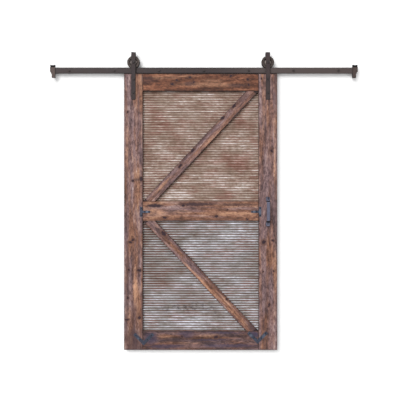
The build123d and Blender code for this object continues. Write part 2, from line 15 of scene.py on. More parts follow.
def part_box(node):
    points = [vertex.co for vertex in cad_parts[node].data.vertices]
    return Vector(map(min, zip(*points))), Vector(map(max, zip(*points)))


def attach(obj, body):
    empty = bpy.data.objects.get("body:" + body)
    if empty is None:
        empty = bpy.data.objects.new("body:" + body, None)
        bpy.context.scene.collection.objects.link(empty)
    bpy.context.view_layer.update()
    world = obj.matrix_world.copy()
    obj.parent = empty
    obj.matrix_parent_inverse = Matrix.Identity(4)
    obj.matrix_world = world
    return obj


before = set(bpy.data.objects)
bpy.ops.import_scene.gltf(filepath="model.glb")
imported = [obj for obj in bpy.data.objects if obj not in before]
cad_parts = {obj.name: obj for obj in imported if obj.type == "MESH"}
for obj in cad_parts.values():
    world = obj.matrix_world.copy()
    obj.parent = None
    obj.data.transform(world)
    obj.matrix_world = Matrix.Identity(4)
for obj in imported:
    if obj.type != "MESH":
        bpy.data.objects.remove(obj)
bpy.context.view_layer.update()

log = logging.getLogger("sliding_door")

MM = 0.001
WAVE_PERIOD = math.pi / 10  # metres between the bands of a Wave texture at scale 1

Source = Node | NodeSocket  # what feeds a socket: a node stands for its first open output


def linear(hex_colour: str) -> tuple[float, float, float, float]:
    """Turn an sRGB colour into the linear one that a socket takes, by the standard curve.

    Args:
        hex_colour: The colour as #rrggbb.

    Returns:
        Linear red, green, blue and an alpha of 1.
    """
    parts = [int(hex_colour[i : i + 2], 16) / 255 for i in (1, 3, 5)]
    return (*(p / 12.92 if p <= 0.04045 else ((p + 0.055) / 1.055) ** 2.4 for p in parts), 1.0)


def scale_for(size_mm: float) -> float:
    """The scale at which a noise on metres has features of this size."""
    return 1 / (size_mm * MM)


def add_node(tree: NodeTree, kind: str, inputs: dict | None = None, **settings: object) -> Node:
    """Add one shader node with its settings and its links.

    Args:
        tree: The tree that the node goes into.
        kind: The node's type name, after the ShaderNode that every one starts with.
        inputs: What each socket gets, by its name or number: a value, a hex colour, a node or a socket.
        settings: The node's properties, and the places and hex colours of a colour ramp as stops.

    Returns:
        The new node.
    """
    node = tree.nodes.new(f"ShaderNode{kind}")
    stops = settings.pop("stops", ())
    for name, value in settings.items():
        setattr(node, name, value)
    for _ in stops[2:]:
        node.color_ramp.elements.new(1.0)
    for number, (place, colour) in enumerate(stops):
        node.color_ramp.elements[number].position = place
        node.color_ramp.elements[number].color = linear(colour)
    for key, value in (inputs or {}).items():
        by_name = (socket for socket in node.inputs if socket.enabled and socket.name == key)
        socket = node.inputs[key] if isinstance(key, int) else next(by_name)
        if isinstance(value, Node):
            value = next(output for output in value.outputs if output.enabled)
        if isinstance(value, NodeSocket):
            tree.links.new(value, socket)
        else:
            socket.default_value = linear(value) if isinstance(value, str) else value
    return node


def combine(tree: NodeTree, operation: str, values: list[Source]) -> Source:
    """Put values together, each with what came before it.

    Args:
        tree: The tree to work in.
        operation: What is done with each two, such as MAXIMUM for masks.
        values: What is put together.

    Returns:
        What comes out.
    """
    return reduce(lambda one, other: add_node(tree, "Math", {0: one, 1: other}, operation=operation), values)


def weighted_sum(tree: NodeTree, start: Source | float, parts: tuple[tuple[Source, float], ...]) -> Source:
    """Add values up, each times its weight.

    Args:
        tree: The tree to work in.
        start: What the sum starts from.
        parts: Each value with its weight.

    Returns:
        The sum.
    """
    total = start
    for part, weight in parts:
        total = add_node(tree, "Math", {0: part, 1: weight, 2: total}, operation="MULTIPLY_ADD")
    return total


def layered(tree: NodeTree, colour: Source | str, layers: list[tuple[str, Source]]) -> Source:
    """Lay shades over a colour, one after another.

    Args:
        tree: The tree to work in.
        colour: The colour below them.
        layers: Each shade with what says how much of it shows.

    Returns:
        The colour with all of them on it.
    """
    for shade, share in layers:
        colour = add_node(tree, "Mix", {"Factor": share, "A": colour, "B": shade}, data_type="RGBA")
    return colour


def two_tone(
    tree: NodeTree,
    tone: Source,
    places: tuple[float, ...],
    ramps: tuple[tuple[str, ...], tuple[str, ...]],
    share: Source,
) -> Source:
    """Colour a tone by two ramps.

    Args:
        tree: The tree to work in.
        tone: The tone, from dark at 0 to light at 1.
        places: The tones at which both ramps have their colours.
        ramps: The colours of the one and of the other.
        share: How much of the other shows.

    Returns:
        The colour.
    """
    one, other = (add_node(tree, "ValToRGB", {"Fac": tone}, stops=tuple(zip(places, ramp))) for ramp in ramps)
    return add_node(tree, "Mix", {"Factor": share, "A": one, "B": other}, data_type="RGBA")


def centred(tree: NodeTree, coords: Source, centre: Vector, turn: float) -> Node:
    """Make coordinates that start at a place and run along a slope.

    Args:
        tree: The tree to work in.
        coords: The door's own coordinates.
        centre: The place, in metres.
        turn: The slope's angle above level, in radians.

    Returns:
        The coordinates, with X along the slope and Z across it.
    """
    turned = Matrix.Rotation(turn, 3, "Y") @ centre
    return add_node(tree, "Mapping", {"Vector": coords, "Location": -turned, "Rotation": (0.0, turn, 0.0)})


def loosened(tree: NodeTree, coords: Source, noise: Node, reach: Vector) -> Source:
    """Shake coordinates by a noise, so that what is laid on them gets a ragged edge.

    Args:
        tree: The tree to work in.
        coords: The coordinates.
        noise: The noise.
        reach: How far it moves them along X, Y and Z, from one end to the other.

    Returns:
        The shaken coordinates.
    """
    colour = noise.outputs["Color"]
    shake = add_node(tree, "VectorMath", {0: colour, 1: reach, 2: -reach / 2}, operation="MULTIPLY_ADD")
    return add_node(tree, "VectorMath", {0: coords, 1: shake}, operation="ADD")


def oval(
    tree: NodeTree, coords: Source, half: tuple[float, float], span: tuple[float, float], top: float
) -> Node:
    """Mark one oval round the start of some coordinates.

    Args:
        tree: The tree to work in.
        coords: The coordinates.
        half: Half its length and half its width, in millimetres.
        span: Where the mark starts and where it is full, as shares of the way from the middle to the rim.
        top: How strong it is where it is full.

    Returns:
        The mark, 0 beyond the place where it starts.
    """
    along, across = half
    start, end = span
    shares = (scale_for(along), 0.0, scale_for(across))
    sized = add_node(tree, "VectorMath", {0: coords, 1: shares}, operation="MULTIPLY")
    reach = add_node(tree, "VectorMath", {0: sized}, operation="LENGTH").outputs["Value"]
    limits = {"Value": reach, "From Min": start, "From Max": end, "To Max": top}
    return add_node(tree, "MapRange", limits, interpolation_type="SMOOTHSTEP")


class Run(Enum):
    """The way a board's grain runs, in degrees above level."""

    LEVEL = 0.0
    UPRIGHT = 90.0
    RISING = 46.8
    FALLING = -46.8


class Slot(Enum):
    """A material slot of the record, which no piece here is given."""

    FIXING = "fixing_steel"


@dataclass(frozen=True)
class Spot:
    """An oval place on a piece, such as a knot, a stain or a rubbed place.

    Attributes:
        x: Its middle in the door's frame, in millimetres, as are the next three.
        z: The same, upwards.
        along: Half its length, along the grain, or along X where there is none.
        across: Half its width.
        strength: How much of it shows.
    """

    x: float
    z: float
    along: float
    across: float
    strength: float = 1.0

    @property
    def place(self) -> Vector:
        """Its middle, in metres."""
        return Vector((self.x * MM, 0.0, self.z * MM))


def spot_mask(
    tree: NodeTree,
    coords: Source,
    spots: tuple[Spot, ...],
    span: tuple[float, float],
    turn: float = 0.0,
) -> Source:
    """Mark a list of places.

    Args:
        tree: The tree to work in.
        coords: The coordinates, in metres in the door's frame.
        spots: The places.
        span: Where each mark starts and where it is full, as shares of the way from its middle to its rim.
        turn: The angle of their long way above level, in radians.

    Returns:
        The marks, 0 away from the places.
    """
    ovals = [
        oval(tree, centred(tree, coords, spot.place, turn), (spot.along, spot.across), span, spot.strength)
        for spot in spots
    ]
    return combine(tree, "MAXIMUM", ovals)


@dataclass(frozen=True)
class Mottle:
    """A cloudy pattern, drawn out along a grain or along corrugations.

    Attributes:
        size: How wide its clouds are, in millimetres.
        stretch: How many times longer they are.
        detail: How many finer layers it has.
        spread: How far the noise goes from its middle, 0.5, before it counts as 0 or 1.
    """

    size: float
    stretch: float
    detail: float
    spread: float

    def lay(
        self,
        tree: NodeTree,
        coords: Source,
        place: Vector,
        through: float = 1.0,
        roughness: float = 0.6,
    ) -> tuple[Node, Node]:
        """Lay the pattern on some coordinates.

        Args:
            tree: The tree to work in.
            coords: The coordinates, with X along the clouds.
            place: How far the pattern is moved, so that no two pieces are alike.
            through: How much it changes through the piece: 0 keeps it the same from front to back.
            roughness: How strong the finer layers are.

        Returns:
            The plain noise, and the pattern from 0 to 1.
        """
        scale = (1 / self.stretch, through, 1.0)
        placed = add_node(tree, "Mapping", {"Vector": coords, "Location": place, "Scale": scale})
        fineness = {"Scale": scale_for(self.size), "Detail": self.detail, "Roughness": roughness}
        noise = add_node(tree, "TexNoise", {"Vector": placed, **fineness})
        limits = {"Value": noise, "From Min": 0.5 - self.spread, "From Max": 0.5 + self.spread}
        return noise, add_node(tree, "MapRange", limits)


@dataclass(frozen=True)
class Finish:
    """A finish that is one procedural material."""

    name: str

    def start(self) -> tuple[Material, NodeTree, NodeSocket]:
        """Make the empty material.

        Returns:
            The material, its tree and the socket with the object's coordinates.
        """
        material = bpy.data.materials.new(self.name)
        material.use_nodes = True
        tree = material.node_tree
        tree.nodes.clear()
        return material, tree, add_node(tree, "TexCoord").outputs["Object"]

    def close(self, tree: NodeTree, height: Source, bump: tuple[float, float], inputs: dict) -> None:
        """End the material with its shader.

        Args:
            tree: The tree to work in.
            height: The relief of the surface.
            bump: How high the relief is, in metres, and how strongly it shows.
            inputs: The colour and the rest of what the shader gets.
        """
        distance, strength = bump
        relief = add_node(tree, "Bump", {"Height": height, "Distance": distance, "Strength": strength})
        shader = add_node(tree, "BsdfPrincipled", {**inputs, "Normal": relief})
        add_node(tree, "OutputMaterial", {"Surface": shader})


@dataclass(frozen=True)
class StainedPine(Finish):
    """Rustic pine, planed, brushed and wiped with a brown oil stain.

    The stain lies in bands and blotches along the grain, golden brown in some places and mauve in others,
    with the grain faint in it. Wear on the faces brings up pale orange wood, and the knots are nearly black,
    as are the edges, where the stain is darkest and painted shade stands for the shadow in the joints.

    Attributes:
        centre: The middle of the board in the door's frame, in metres, as are its length and width.
        lift: How much lighter the whole board is.
        warmth: How little of it is mauve.
        stain: The colour of its stains.
        wash: A thin colour over the whole board.
        side_dark: How dark its long edges are.
        end_dark: How dark its ends are.
        ring_pitch: The distance between growth rings, in millimetres, as are all that follow without a unit.
        pool_size: How wide the golden and mauve patches are.
        pool_stretch: How much longer they are than wide, as a ratio.
        ragged_size: How wide the teeth are at the rims of stains, knots and dark edges.
        ragged_reach: How far those teeth reach.
        knot_reach: How far along and across a knot bends the grain, in its own sizes.
        knot_pull: How far the coordinates are drawn to its middle line, which leads the grain round it.
        pith_depth: How far behind the middle of the board its pith lies.
        pith_step: How much further to the side it lies from one seed to the next.
        pith_tilts: How many degrees it runs off the length, in boards of an even and of an odd seed.
        seed_step: How far a pattern is moved from one seed to the next, in metres, before its own factor.
    """

    centre: tuple[float, float, float] = (0.0, 0.0, 0.0)
    length: float = 1.0
    width: float = 0.1
    run: Run = Run.LEVEL
    seed: int = 0
    knots: tuple[Spot, ...] = ()
    stains: tuple[Spot, ...] = ()
    worn: tuple[Spot, ...] = ()
    lift: float = 0.0
    warmth: float = 0.5
    stain: str = "#4a3638"
    wash: str = "#ffffff"
    side_dark: float = 0.75
    end_dark: float = 0.85
    golden: tuple[str, ...] = ("#33211d", "#5f4135", "#8b614e", "#b3876d", "#dfb9a3")
    mauve: tuple[str, ...] = ("#31262a", "#5d4a4c", "#886d6d", "#ac928f", "#d3c0bd")
    places: tuple[float, ...] = (0.0, 0.3, 0.55, 0.78, 1.0)
    bands: Mottle = Mottle(30, 18.0, 2.0, 0.17)
    blotches: Mottle = Mottle(24, 3.2, 6.0, 0.2)
    # The grain's own lines are 1 to 4 mm apart on real pine, and are drawn at 9 mm to show.
    lines: Mottle = Mottle(9, 2.2, 3.0, 0.17)
    ring_pitch: float = 7.0
    pool_size: float = 44.0
    pool_stretch: float = 1 / 0.12
    bare_wood: str = "#dba787"
    edge_stain_and_shade: str = "#24181b"
    pore: str = "#3d2b2a"
    knot_ring: str = "#5f4034"
    knot_core: str = "#33232a"
    ragged_size: float = 14.0
    ragged_reach: float = 24.0
    knot_reach: tuple[float, float] = (6.0, 4.0)
    knot_pull: float = 0.8
    pith_depth: float = 70.0
    pith_step: float = 18.0
    pith_tilts: tuple[float, float] = (-1.1, 1.4)
    seed_step: tuple[float, float, float] = (1.7, 0.9, 2.3)

    def make(self) -> Material:
        """Build the material.

        Returns:
            The finished material.
        """
        material, tree, coords = self.start()
        board = centred(tree, coords, Vector(self.centre), self.turn)
        bent = self.round_knots(tree, board)
        offset = Vector(self.seed_step) * self.seed
        grain = (self.bands, self.blotches, self.lines)
        # A wider pattern is moved further, so that they don't line up.
        bands, blotches, lines = (
            layer.lay(tree, bent, offset * (1 + layer.size / 50))[1] for layer in grain
        )
        rings = self.growth_rings(tree, bent)
        parts = ((bands, 0.3), (blotches, 0.4), (lines, 0.26), (rings, 0.06))
        tone = weighted_sum(tree, self.lift + 0.01, parts)

        # Where the stain pooled it dried mauve, and elsewhere golden.
        stretched = {"Location": offset * 2, "Scale": (1 / self.pool_stretch, 1.0, 1.0)}
        patches = add_node(tree, "Mapping", {"Vector": board, **stretched})
        fineness = {"Scale": scale_for(self.pool_size), "Detail": 6.0, "Roughness": 0.62}
        pooled = add_node(tree, "TexNoise", {"Vector": patches, **fineness})
        middle = 0.32 + 0.4 * self.warmth
        limits = {"From Min": middle - 0.1, "From Max": middle + 0.1}
        share = add_node(tree, "MapRange", {"Value": pooled, **limits})
        colour = two_tone(tree, tone, self.places, (self.golden, self.mauve), share)
        washed = {"Factor": 1.0, "A": colour, "B": self.wash}
        colour = add_node(tree, "Mix", washed, data_type="RGBA", blend_type="MULTIPLY")
        colour = layered(tree, colour, self.marks(tree, coords, board, blotches, lines))
        self.close(
            tree,
            weighted_sum(tree, blotches, ((lines, 0.6), (rings, 0.25))),
            (0.9 * MM, 0.7),
            {
                "Base Color": colour,
                "Roughness": add_node(tree, "MapRange", {"Value": pooled, "To Min": 0.5, "To Max": 0.78}),
                "IOR": 1.5,
                "Specular IOR Level": 0.25,
            },
        )
        return material

    @property
    def turn(self) -> float:
        """The angle of the grain above level, in radians."""
        return math.radians(self.run.value)

    def round_knots(self, tree: NodeTree, board: Node) -> Node:
        """Lead the grain round the knots.

        Args:
            tree: The tree to work in.
            board: The board's own coordinates: along, through and across.

        Returns:
            The same coordinates, drawn together at each knot.
        """
        if not self.knots:
            return board
        middle = Vector((self.centre[0], 0.0, self.centre[2]))
        pulls = []
        for knot in self.knots:
            place = Matrix.Rotation(self.turn, 3, "Y") @ (knot.place - middle)
            near = add_node(tree, "Mapping", {"Vector": board, "Location": -place})
            half = (self.knot_reach[0] * knot.along, self.knot_reach[1] * knot.across)
            pull = oval(tree, near, half, (1.0, 0.0), self.knot_pull)
            off = add_node(tree, "SeparateXYZ", {"Vector": near}).outputs["Z"]
            pulls.append(combine(tree, "MULTIPLY", [pull, off]))
        part = add_node(tree, "SeparateXYZ", {"Vector": board}).outputs
        drawn = combine(tree, "SUBTRACT", [part["Z"], combine(tree, "ADD", pulls)])
        return add_node(tree, "CombineXYZ", {"X": part["X"], "Y": part["Y"], "Z": drawn})

    def growth_rings(self, tree: NodeTree, bent: Node) -> Node:
        """Draw the rings of a plain sawn board, whose pith lies behind its face and a little off its length.

        Args:
            tree: The tree to work in.
            bent: The board's coordinates, led round the knots.

        Returns:
            The rings.
        """
        side = (self.seed % 5 - 2) * self.pith_step * MM
        tilt = math.radians(self.pith_tilts[self.seed % 2])
        place = {"Location": (0.0, -self.pith_depth * MM, side), "Rotation": (0.0, tilt / 2, tilt)}
        pith = add_node(tree, "Mapping", {"Vector": bent, **place})
        scale = WAVE_PERIOD / (self.ring_pitch * MM)
        waves = {"Scale": scale, "Distortion": 3.0, "Detail": 2.0, "Detail Scale": 0.8}
        return add_node(tree, "TexWave", {"Vector": pith, **waves}, wave_type="RINGS", rings_direction="X")

    def marks(
        self, tree: NodeTree, coords: Source, board: Source, blotches: Source, lines: Source
    ) -> list[tuple[str, Source]]:
        """Lay out the wear, stains, dark edges, pores and knots.

        Args:
            tree: The tree to work in.
            coords: The coordinates in the door's frame.
            board: The board's own coordinates.
            blotches: The blotches of the stain.
            lines: The lines of the grain.

        Returns:
            Each mark's colour with how much of it shows, the lowest first.
        """
        teeth = {"Scale": scale_for(self.ragged_size), "Detail": 3.0}
        ragged = add_node(tree, "TexNoise", {"Vector": coords, **teeth})
        loose = loosened(tree, coords, ragged, Vector((1.0, 1.0, 1.0)) * self.ragged_reach * MM)
        layers = []
        if self.worn:
            bare = spot_mask(tree, loose, self.worn, (1.0, 0.2), self.turn)
            layers.append((self.bare_wood, combine(tree, "MULTIPLY", [bare, blotches])))
        if self.stains:
            layers.append((self.stain, spot_mask(tree, loose, self.stains, (1.0, 0.35), self.turn)))
        # The stain is darkest at the edges, where painted shade also stands for the shadow in the joints, in
        # a wide faint band and a narrow dark one.
        for reach, depth in ((14 * MM, 0.25), (4 * MM, 1.0)):
            layers.append((self.edge_stain_and_shade, self.dark_edge(tree, board, ragged, reach, depth)))
        pores = {"Value": lines, "From Min": 0.3, "From Max": 0.05, "To Max": 0.4}
        layers.append((self.pore, add_node(tree, "MapRange", pores)))
        if self.knots:
            ring = spot_mask(tree, loose, self.knots, (2.8, 0.9), self.turn)
            layers.append((self.knot_ring, add_node(tree, "Math", {0: ring, 1: 0.7}, operation="MULTIPLY")))
            layers.append((self.knot_core, spot_mask(tree, loose, self.knots, (1.35, 0.75), self.turn)))
        return layers

    def dark_edge(
        self, tree: NodeTree, board: Source, ragged: Node, reach: float, depth: float
    ) -> Source:
        """Mark the board's edges, where the stain is darkest and painted shade lies in the joints.

        Args:
            tree: The tree to work in.
            board: The board's own coordinates.
            ragged: The noise that makes the mark uneven.
            reach: How wide the mark is, in metres.
            depth: How dark it is.

        Returns:
            The mark.
        """
        part = add_node(tree, "SeparateXYZ", {"Vector": board}).outputs
        masks = []
        edges = (("Z", self.width / 2, self.side_dark), ("X", self.length / 2, self.end_dark))
        for axis, half, dark in edges:
            out = add_node(tree, "Math", {0: part[axis]}, operation="ABSOLUTE")
            out = weighted_sum(tree, out, ((ragged, reach),))
            limits = {"From Min": half - reach / 2, "From Max": half + reach / 4, "To Max": dark * depth}
            mask = add_node(tree, "MapRange", {"Value": out, **limits}, interpolation_type="SMOOTHSTEP")
            masks.append(mask)
        return combine(tree, "MAXIMUM", masks)


@dataclass(frozen=True)
class WeatheredSheet(Finish):
    """Hot-dip galvanised corrugated steel, years outdoors.

    Zinc is left as pale dull grey on the crests, where it was rubbed, and brown rust sits in the valleys and
    spreads in patches. The crests are also painted lighter as a painted highlight, and the valleys darker as
    painted shade. Along each crest the zinc and its painted highlight come and go, which breaks the light
    lines up.

    Attributes:
        grey: The colours from dark to light where zinc is left.
        red: The same where it has reddened.
        front: Where the crests lie in Y, in metres.
        depth: How far the valleys lie behind them.
        lift: How much lighter the whole sheet is.
        redness: How much of it is red.
        rust_red: How red the patches of rust are.
        relief: How much lighter the crests are than the valleys, as rubbed zinc and rust with painted
            highlight and shade.
        evenness: How little that comes and goes.
        grit: How much the grains of rust show.
        patches: Where rust has spread.
        pale: Where zinc is left bright.
        smudges: Where dirt sits.
        torn_reach: How far the rims of those places are torn in X, Y and Z, in millimetres.
    """

    grey: tuple[str, ...] = ()
    red: tuple[str, ...] = ()
    front: float = 0.0
    depth: float = 4.8 * MM
    seed: int = 0
    lift: float = 0.14
    redness: float = 0.5
    rust_red: float = 0.6
    relief: float = 0.30
    evenness: float = 0.1
    grit: float = 0.22
    patches: tuple[Spot, ...] = ()
    pale: tuple[Spot, ...] = ()
    smudges: tuple[Spot, ...] = ()
    places: tuple[float, ...] = (0.0, 0.25, 0.5, 0.75, 1.0)
    # Marks along the corrugations are a little under one 19.05 mm pitch high, so that each crest has its own.
    lines: Mottle = Mottle(19.05 * 0.85, 6.0, 4.0, 0.16)
    grains: Mottle = Mottle(15, 1.8, 3.0, 0.16)
    clouds: Mottle = Mottle(110, 1.4, 3.5, 0.16)
    flush: Mottle = Mottle(70, 1.8, 6.0, 0.12)
    dent_size: float = 55.0
    torn_reach: tuple[float, float, float] = (200, 0, 130)
    dirt: str = "#3a302e"
    seed_step: tuple[float, float, float] = (2.1, 0.3, 1.3)

    def make(self) -> Material:
        """Build the material.

        Returns:
            The finished material.
        """
        material, tree, coords = self.start()
        offset = Vector(self.seed_step) * self.seed
        layers = (self.lines, self.grains, self.clouds, self.flush)
        patterns = [
            layer.lay(tree, coords, offset * number, through=0.0, roughness=0.62)
            for number, layer in enumerate(layers, 1)
        ]
        (_, lines), (_, grains), (drift, clouds), (_, flush) = patterns
        loose = loosened(tree, coords, drift, Vector(self.torn_reach) * MM)
        torn = []
        for spots in (self.patches, self.pale):
            mask = spot_mask(tree, loose, spots, (1.5, 0.1))
            mask = weighted_sum(tree, mask, ((grains, 0.4), (lines, 0.4)))
            torn.append(add_node(tree, "MapRange", {"Value": mask, "From Min": 0.5, "From Max": 1.2}))
        rusty, pale = torn

        # Zinc is rubbed pale along the crests and rust is dark along the valleys, more in some places, with a
        # painted highlight on the crests and painted shade in the valleys.
        out = add_node(tree, "SeparateXYZ", {"Vector": coords}).outputs["Y"]
        limits = {"From Min": self.front + self.depth, "From Max": self.front, "To Min": -1.0, "To Max": 1.0}
        crest = add_node(tree, "MapRange", {"Value": out, **limits})
        shown = add_node(tree, "MapRange", {"Value": lines, "To Min": self.evenness})
        relief = combine(tree, "MULTIPLY", [crest, shown])
        worn = ((lines, 0.22), (grains, self.grit), (clouds, 0.18), (rusty, -0.15), (pale, 0.13))
        tone = weighted_sum(tree, self.lift, ((relief, self.relief), *worn))
        reddened = weighted_sum(tree, 0.12, ((flush, 0.7), (rusty, self.rust_red), (relief, -0.7)))
        start = 0.6 - 0.6 * self.redness
        share = add_node(tree, "MapRange", {"Value": reddened, "From Min": start, "From Max": start + 1.0})
        colour = two_tone(tree, tone, self.places, (self.grey, self.red), share)
        if self.smudges:
            dirt = spot_mask(tree, loose, self.smudges, (1.2, 0.5))
            blots = {"Value": grains, "From Min": 0.35, "From Max": 0.75, "To Max": 0.75}
            share = combine(tree, "MULTIPLY", [dirt, add_node(tree, "MapRange", blots)])
            colour = layered(tree, colour, [(self.dirt, share)])

        hollows = {"Scale": scale_for(self.dent_size), "Detail": 2.0}
        dents = add_node(tree, "TexNoise", {"Vector": coords, **hollows})
        zinc = {"Value": tone, "From Min": 0.5, "From Max": 1.0, "To Max": 0.3}
        self.close(
            tree,
            weighted_sum(tree, dents, ((grains, 0.12),)),
            (3.0 * MM, 0.8),
            {
                "Base Color": colour,
                "Roughness": add_node(tree, "MapRange", {"Value": tone, "To Min": 0.85, "To Max": 0.5}),
                "Metallic": add_node(tree, "MapRange", zinc),
            },
        )
        return material


@dataclass(frozen=True)
class CoatedSteel(Finish):
    """Steel with a thin coat, handled and weathered.

    The coat is uneven and dull, and another shade shows through it in clouds. On a piece with an outline,
    dirt and painted shade keep to the edges, which are nearly black; painted shade also lies in given places.

    Attributes:
        cloud: The colour that shows through in clouds.
        rubbed: The colour where the coat is rubbed.
        edge: The colour of dirt and of painted shade.
        cloud_size: How wide the clouds are, in millimetres, as is edge_width for the dark edges of dirt and
            painted shade.
        outline: The middle and the half sizes in X and Z, in metres, of a piece that has dark edges of dirt
            and painted shade.
        worn: Where the coat is rubbed, which on the plates is also a painted highlight.
        painted_shade: Where painted shade lies, under a raised part or in a gap.
    """

    coat: str = "#5a504e"
    cloud: str = "#6c5a52"
    rubbed: str = "#8c8079"
    edge: str = "#221c1c"
    cloud_size: float = 45.0
    grit_size: float = 5.0
    edge_width: float = 3.0
    outline: tuple[tuple[float, float], tuple[float, float]] | None = None
    worn: tuple[Spot, ...] = ()
    painted_shade: tuple[Spot, ...] = ()
    seed: int = 0
    seed_step: tuple[float, float, float] = (1.3, 0.7, 2.9)
    metallic: float = 0.6
    roughness: float = 0.5

    def make(self) -> Material:
        """Build the material.

        Returns:
            The finished material.
        """
        material, tree, coords = self.start()
        offset = Vector(self.seed_step) * self.seed
        placed = add_node(tree, "Mapping", {"Vector": coords, "Location": offset})
        clouds, grit = (
            add_node(tree, "TexNoise", {"Vector": placed, "Scale": scale_for(size), "Detail": detail})
            for size, detail in ((self.cloud_size, 4.0), (self.grit_size, 3.0))
        )
        through = {"Value": clouds, "From Min": 0.4, "From Max": 0.68, "To Max": 0.8}
        layers = [(self.cloud, add_node(tree, "MapRange", through))]
        # Dirt and painted shade darken the edges of a piece with an outline.
        if self.outline is not None:
            layers.append((self.edge, self.dirty_shaded_edge(tree, coords, grit)))
        specks = {"Value": grit, "From Min": 0.56, "From Max": 0.72, "To Max": 0.35}
        layers.append((self.rubbed, add_node(tree, "MapRange", specks)))
        # Rubbed places are lighter, and painted shade darkens the given places in the edges' colour.
        for spots, shade in ((self.worn, self.rubbed), (self.painted_shade, self.edge)):
            if spots:
                layers.append((shade, spot_mask(tree, coords, spots, (1.0, 0.4))))
        dull = {"Value": clouds, "To Min": self.roughness - 0.12, "To Max": self.roughness + 0.14}
        self.close(
            tree,
            grit,
            (0.25 * MM, 0.6),
            {
                "Base Color": layered(tree, self.coat, layers),
                "Roughness": add_node(tree, "MapRange", dull),
                "Metallic": self.metallic,
            },
        )
        return material

    def dirty_shaded_edge(self, tree: NodeTree, coords: Source, grit: Node) -> Node:
        """Mark the piece's edges, for dirt and painted shade.

        Args:
            tree: The tree to work in.
            coords: The coordinates in the door's frame.
            grit: The noise that makes the mark uneven.

        Returns:
            The mark.
        """
        part = add_node(tree, "SeparateXYZ", {"Vector": coords}).outputs
        masks = []
        for axis, middle, half in zip("XZ", *self.outline):
            off = add_node(tree, "Math", {0: part[axis], 1: middle}, operation="SUBTRACT")
            off = add_node(tree, "Math", {0: off}, operation="ABSOLUTE")
            off = weighted_sum(tree, off, ((grit, 3 * MM),))
            limits = {"From Min": half - self.edge_width * MM, "From Max": half + 1 * MM}
            masks.append(add_node(tree, "MapRange", {"Value": off, **limits}))
        return add_node(tree, "Math", {0: combine(tree, "MAXIMUM", masks), 1: 0.75}, operation="MULTIPLY")


@dataclass(frozen=True)
class TurnedSteel(Finish):
    """Steel turned on a lathe, bare or lightly oxidised: fine rings round the axle and a soft shine.

    Attributes:
        axle: Where the axle runs, in X and Z, in metres.
        bands: Dark rings of painted shade, each by its share of the radius and its colour.
    """

    light: str = "#a9a6a3"
    dark: str = "#85817e"
    axle: tuple[float, float] = (0.0, 0.0)
    roughness: float = 0.35
    metallic: float = 1.0
    bands: tuple[tuple[float, str], ...] = ()
    radius: float = 50 * MM
    # Tool marks are a few tenths of a millimetre apart, and are drawn at 1.4 mm to show.
    mark_pitch: float = 1.4 * MM
    tarnish_size: float = 12.0

    def make(self) -> Material:
        """Build the material.

        Returns:
            The finished material.
        """
        material, tree, coords = self.start()
        centre = (-self.axle[0], 0.0, -self.axle[1])
        about = add_node(tree, "Mapping", {"Vector": coords, "Location": centre})
        waves = {"Vector": about, "Scale": WAVE_PERIOD / self.mark_pitch, "Distortion": 1.2}
        marks = add_node(tree, "TexWave", waves, wave_type="RINGS", rings_direction="Y")
        stains = {"Scale": scale_for(self.tarnish_size), "Detail": 4.0}
        tarnish = add_node(tree, "TexNoise", {"Vector": coords, **stains})
        uneven = weighted_sum(tree, tarnish, ((marks, 0.3),))
        share = add_node(tree, "MapRange", {"Value": uneven, "From Min": 0.4, "From Max": 0.95})
        colour = layered(tree, self.dark, [(self.light, share)])
        # Painted shade in dark rings round the axle, multiplied over the steel.
        if self.bands:
            level = add_node(tree, "VectorMath", {0: about, 1: (1.0, 0.0, 1.0)}, operation="MULTIPLY")
            out = add_node(tree, "VectorMath", {0: level}, operation="LENGTH").outputs["Value"]
            out = add_node(tree, "Math", {0: out, 1: self.radius}, operation="DIVIDE")
            rings = add_node(tree, "ValToRGB", {"Fac": out}, stops=self.bands)
            ringed = {"Factor": 1.0, "A": colour, "B": rings}
            colour = add_node(tree, "Mix", ringed, data_type="RGBA", blend_type="MULTIPLY")
        dull = {"Value": tarnish, "To Min": self.roughness - 0.1, "To Max": self.roughness + 0.2}
        self.close(
            tree,
            marks,
            (0.1 * MM, 0.5),
            {"Base Color": colour, "Roughness": add_node(tree, "MapRange", dull), "Metallic": self.metallic},
        )
        return material


@dataclass(frozen=True)
class MouldedRubber(Finish):
    """Black moulded rubber: deep matt black with a faint grey bloom."""

    bloom_size: float = 9.0

    def make(self) -> Material:
        """Build the material.

        Returns:
            The finished material.
        """
        material, tree, coords = self.start()
        faint = {"Scale": scale_for(self.bloom_size), "Detail": 4.0}
        bloom = add_node(tree, "TexNoise", {"Vector": coords, **faint})
        share = add_node(tree, "MapRange", {"Value": bloom, "From Min": 0.45, "From Max": 0.7})
        self.close(
            tree,
            bloom,
            (0.15 * MM, 0.5),
            {
                "Base Color": layered(tree, "#0c0b0b", [("#1b1919", share)]),
                "Roughness": add_node(tree, "MapRange", {"Value": bloom, "To Min": 0.8, "To Max": 0.95}),
                "IOR": 1.52,
                "Specular IOR Level": 0.2,
            },
        )
        return material


def seen_share(tree: NodeTree) -> Source:
    """Tell what the camera sees, by itself or in a shiny piece, from what only gives light.

    Args:
        tree: The tree to work in.

    Returns:
        1 on the rays that are seen, 0 on the others.
    """
    path = add_node(tree, "LightPath").outputs
    return combine(tree, "MAXIMUM", [path[f"Is {kind} Ray"] for kind in ("Camera", "Glossy", "Transmission")])


